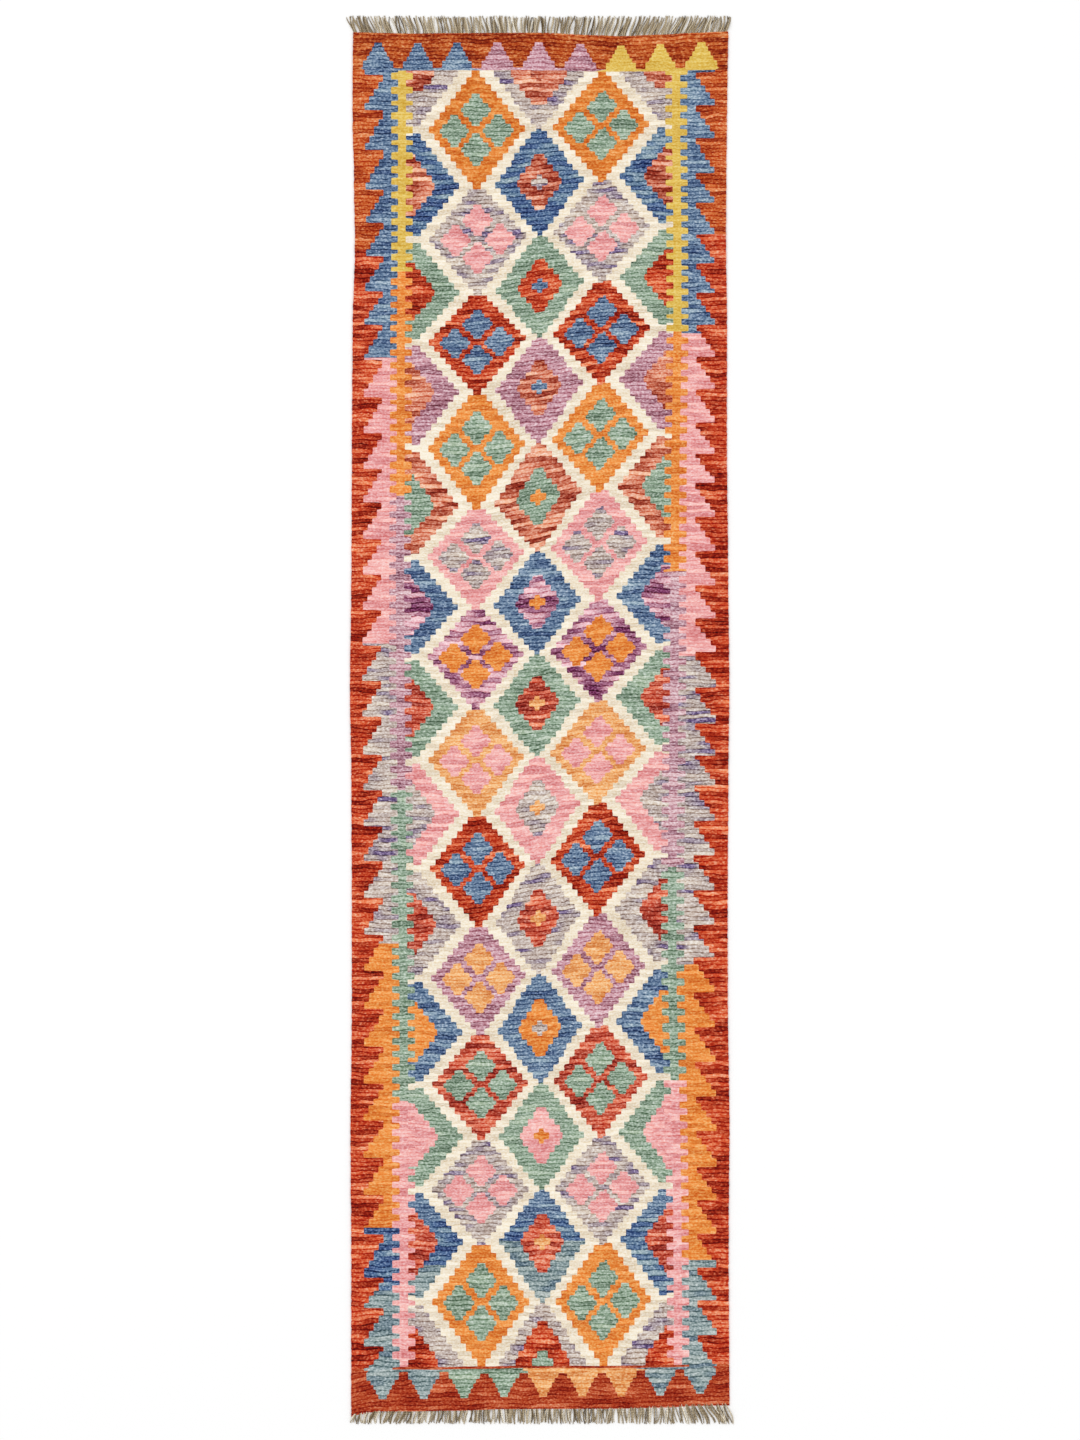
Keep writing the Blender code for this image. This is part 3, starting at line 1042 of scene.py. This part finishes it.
def wool(name, yarn):
    """Hand-spun wool as it lies in the weave: bundles in its dye's tones with shade painted in the furrows
    between them, and varied by the speckle of the spun yarn."""
    material, shader, across, along, lot = start_wool(name + "_wool", "weave")
    tree = material.node_tree
    skein = add_maths(tree, "MULTIPLY", lot, SKEIN_APART)
    bundle, place = add_bundles(tree, across, along, skein, yarn.bundle)
    tone_at = add_scaled(tree, across, bundle, skein, (yarn.streak, 1.0))
    tone = add_noise(tree, tone_at)
    dye = add_tones(tree, tone, TONE_PLACES[len(yarn.tones)], yarn.tones)

    speck_at = add_scaled(tree, across, along, skein, (SPECK_ACROSS, SPECK_ALONG))
    specks = add_noise(tree, speck_at)
    speckle = add_range(tree, specks, SPECK_NOISE, (1.0 - yarn.speckle, 1.0 + yarn.speckle))
    # The furrows' painted shade raises the power that darkens and deepens the dye towards each bundle's
    # edge.
    furrow_shade_power = add_furrow_shade(tree, across, bundle, place, skein, yarn.furrow)
    power = add_maths(tree, "MULTIPLY", speckle, furrow_shade_power)
    speckled_and_shaded_dye = add_node(tree, "ShaderNodeGamma", Color=dye, Gamma=power)
    tree.links.new(speckled_and_shaded_dye.outputs["Color"], shader.inputs["Base Color"])
    add_bump(tree, shader, specks, strength=0.5, distance=0.0006)
    return material


def warp_wool():
    """Undyed warp yarn: grey-beige, each length a shade of its own, with its plies' twist as bump and as
    painted shade and painted light on their two sides.
    """
    material, shader, around, along, lot = start_wool("undyed_warp_wool", "yarn")
    tree = material.node_tree
    turns = add_maths(tree, "MULTIPLY", along, PLY_TURNS)
    twist = add_maths(tree, "ADD", turns, around)
    angle = add_maths(tree, "MULTIPLY", twist, 2.0 * math.pi * PLIES)
    ply = add_maths(tree, "SINE", angle)
    shade = add_tones(tree, lot, WARP_SHADE_PLACES, WARP_SHADES)
    # Each ply's two sides are painted darker and lighter, as shade and light along the twist.
    light = add_range(tree, ply, (-1.0, 1.0), PLY_PAINTED_LIGHT)
    shaded = add_node(tree, "ShaderNodeVectorMath")
    shaded.operation = "SCALE"
    feed(tree, shaded.inputs["Vector"], shade)
    feed(tree, shaded.inputs["Scale"], light)
    tree.links.new(shaded.outputs["Vector"], shader.inputs["Base Color"])
    add_bump(tree, shader, ply, strength=0.8, distance=0.0004)
    return material


# ==== the fringe ====
def lean_at(across, end):
    """How far one end's tips lean at a share of the way across."""
    return float(np.interp(across, LEAN_PLACES, LEANS[end])) * MM


def make_master_yarn():
    """One straight length of yarn, a metre long from the origin along +Y, to be bent in copies."""
    bpy.ops.mesh.primitive_cylinder_add(
        vertices=YARN_SIDES, radius=1.0, depth=1.0, end_fill_type="TRIFAN",
        location=(0.0, 0.5, 0.0), rotation=(math.radians(-90.0), 0.0, 0.0))
    yarn = bpy.context.active_object
    yarn.name = "warp_end"
    yarn.data.uv_layers[0].name = "yarn"
    bpy.ops.object.transform_apply(location=True, rotation=True, scale=True)
    start_on_edges(yarn)
    for edge in yarn.data.edges:
        first, last = (yarn.data.vertices[index].co for index in edge.vertices)
        edge.select = abs(first.y - last.y) > 0.5
    bpy.ops.object.mode_set(mode="EDIT")
    bpy.ops.mesh.subdivide(number_cuts=YARN_CUTS)
    bpy.ops.object.mode_set(mode="OBJECT")
    return yarn


def bend_yarn(points, root, tip, bow, layer, radius):
    """The master's points laid along one warp end from its root to its tip on the floor, with its
    sideways bow, its rise over the others and its radius."""
    share = points[:, 1]
    leaning = STRAIGHT_SHARE * share + (1.0 - STRAIGHT_SHARE) * smooth_share(share)
    x = root[0] + (tip[0] - root[0]) * leaning + bow * np.sin(math.pi * share)
    y = root[1] + (tip[1] - root[1]) * share
    widening = ROOT_THINNESS + (1.0 - ROOT_THINNESS) * smooth_share(share * WIDENING_RATE)
    taper = (1.0 - TIP_THINNING * share ** 3) * widening
    drop = root[2] + (radius - root[2]) * smooth_share(share * FALLING_RATE)
    z = drop + layer * np.sin(math.pi * np.clip(share * LAYER_RATE, 0.0, 1.0)) ** 2
    run = Vector((tip[0] - root[0], tip[1] - root[1])).normalized()
    sideways = points[:, 0] * radius * taper
    placed = np.empty_like(points)
    placed[:, 0] = x + sideways * abs(run.y)
    placed[:, 1] = y - sideways * run.x * np.sign(run.y)
    placed[:, 2] = np.maximum(z + points[:, 2] * radius * taper, FLOOR_CLEARANCE)
    return placed


def warp_end(dice, number, middle, lean, end, tips):
    """How one yarn of a tuft runs, as its root, tip, bow, layer and radius."""
    outward = 1.0 if end == "top" else -1.0
    offset = number / (YARNS_PER_TUFT - 1) - 0.5 + dice.uniform(-YARN_JITTER, YARN_JITTER)
    root_x = middle + offset * ROOT_SPREAD
    root_y = float(edge_at(end, root_x)) - outward * YARN_INSIDE_CLOTH
    tip_x = middle + lean + offset * TIP_SPREAD + dice.uniform(-1.0, 1.0) * TIP_WANDER
    tip_y = tips - outward * dice.uniform(0.0, 2.0) * LENGTH_WANDER
    radius = YARN_RADIUS * dice.uniform(*RADIUS_SHARES)
    bow = dice.uniform(-LARGEST_BOW, LARGEST_BOW) * TIP_WANDER
    layer = dice.uniform(*LAYER_SHARES) * YARN_LAYERS
    return (root_x, root_y, CLOTH_THICKNESS / 2), (tip_x, tip_y), bow, layer, radius


def make_fringe(name, end, tips):
    """The tufts of warp ends along one woven end, their tips in one nearly straight row."""
    dice = random.Random(RANDOM_SEED + len(name))
    master = make_master_yarn()
    start = points_of(master.data)
    left, right = CLOTH_LOW.x + FRINGE_INSET, CLOTH_HIGH.x - FRINGE_INSET
    copies = []
    for tuft in range(TUFTS_PER_END):
        across = (tuft + 0.5 + dice.uniform(-TUFT_JITTER, TUFT_JITTER)) / TUFTS_PER_END
        middle = left + across * (right - left)
        lean = lean_at(across, end) + dice.uniform(-1.0, 1.0) * TIP_WANDER
        for number in range(YARNS_PER_TUFT):
            mesh = master.data.copy()
            set_points(mesh, bend_yarn(start, *warp_end(dice, number, middle, lean, end, tips)))
            shade = min(max(dice.gauss(USUAL_SHADE, SHADE_SPREAD), 0.0), 1.0)
            add_face_values(mesh, "skein", "FLOAT", [shade] * len(mesh.polygons))
            copy = bpy.data.objects.new(f"{name}_{tuft}_{number}", mesh)
            bpy.context.collection.objects.link(copy)
            copies.append(copy)
    bpy.data.objects.remove(master)
    select_only(*copies)
    bpy.ops.object.join()
    fringe = bpy.context.active_object
    fringe.name = name
    fringe.data.materials.clear()
    fringe.data.materials.append(warp_wool())
    bpy.ops.object.shade_smooth_by_angle(angle=math.radians(YARN_SHARP_ANGLE))
    return fringe


# ==== the studio ====
CAMERA_LENS = 100.0
SENSOR_LONG_SIDE = 36.0
VIEW_LENGTH = 3.1392
VIEW_RIGHT_OF_MIDDLE = 0.0005
VIEW_ABOVE_BOTTOM = 1.5015
FLOOR_SIZE = 80.0
FLOOR_WHITE = (0.97, 0.97, 0.97, 1.0)
STUDIO_WHITE = (1.0, 1.0, 1.0, 1.0)
STUDIO_STRENGTH = 0.88
SOFTBOX_SIZE = 4.0

# Each softbox's name, place and power.
SOFTBOXES = (("key_light", (-5.0, 3.5, 7.0), 126.0), ("fill_light", (5.6, -3.0, 7.0), 74.0))


def make_camera():
    """A long lens straight above the middle of the rug, with its top towards +Y."""
    data = bpy.data.cameras.new("camera")
    data.sensor_width = SENSOR_LONG_SIDE
    data.lens = CAMERA_LENS
    camera = bpy.data.objects.new("camera", data)
    camera.location.x = CLOTH_MIDDLE.x + VIEW_RIGHT_OF_MIDDLE
    camera.location.y = NOMINAL_BOTTOM + VIEW_ABOVE_BOTTOM
    camera.location.z = VIEW_LENGTH * CAMERA_LENS / SENSOR_LONG_SIDE
    bpy.context.scene.collection.objects.link(camera)
    bpy.context.scene.camera = camera


def make_floor():
    """A plain pale floor, wide enough to meet the light behind it."""
    bpy.ops.mesh.primitive_plane_add(size=FLOOR_SIZE)
    floor = bpy.context.active_object
    floor.name = "floor"
    material = bpy.data.materials.new("pale_floor")
    material.use_nodes = True
    shader = material.node_tree.nodes["Principled BSDF"]
    shader.inputs["Base Color"].default_value = FLOOR_WHITE
    shader.inputs["Roughness"].default_value = 1.0
    shader.inputs["Specular IOR Level"].default_value = 0.0
    floor.data.materials.append(material)


def make_softbox(name, place, power):
    """A large soft light aimed at the middle of the rug."""
    data = bpy.data.lights.new(name, "AREA")
    data.size = SOFTBOX_SIZE
    data.energy = power
    light = bpy.data.objects.new(name, data)
    light.location = place
    light.rotation_euler = (-Vector(place)).to_track_quat("-Z", "Y").to_euler()
    light.visible_camera = False
    bpy.context.scene.collection.objects.link(light)


def make_studio():
    """Even light from all round, and two softboxes that bring out the weave."""
    scene = bpy.context.scene
    scene.view_settings.view_transform = "Standard"
    scene.world = bpy.data.worlds.new("studio")
    scene.world.use_nodes = True
    background = scene.world.node_tree.nodes["Background"]
    background.inputs["Color"].default_value = STUDIO_WHITE
    background.inputs["Strength"].default_value = STUDIO_STRENGTH
    for softbox in SOFTBOXES:
        make_softbox(*softbox)


def main():
    make_camera()
    make_floor()
    make_studio()
    fringes = (
        make_fringe("warp_fringe_top", "top", TOP_TIPS),
        make_fringe("warp_fringe_bottom", "bottom", BOTTOM_TIPS),
    )
    cloth = make_cloth()
    for piece, node in zip((cloth,) + fringes, ("kilim", "fringe_top", "fringe_bottom")):
        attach(piece, "root")
        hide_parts(node)


main()
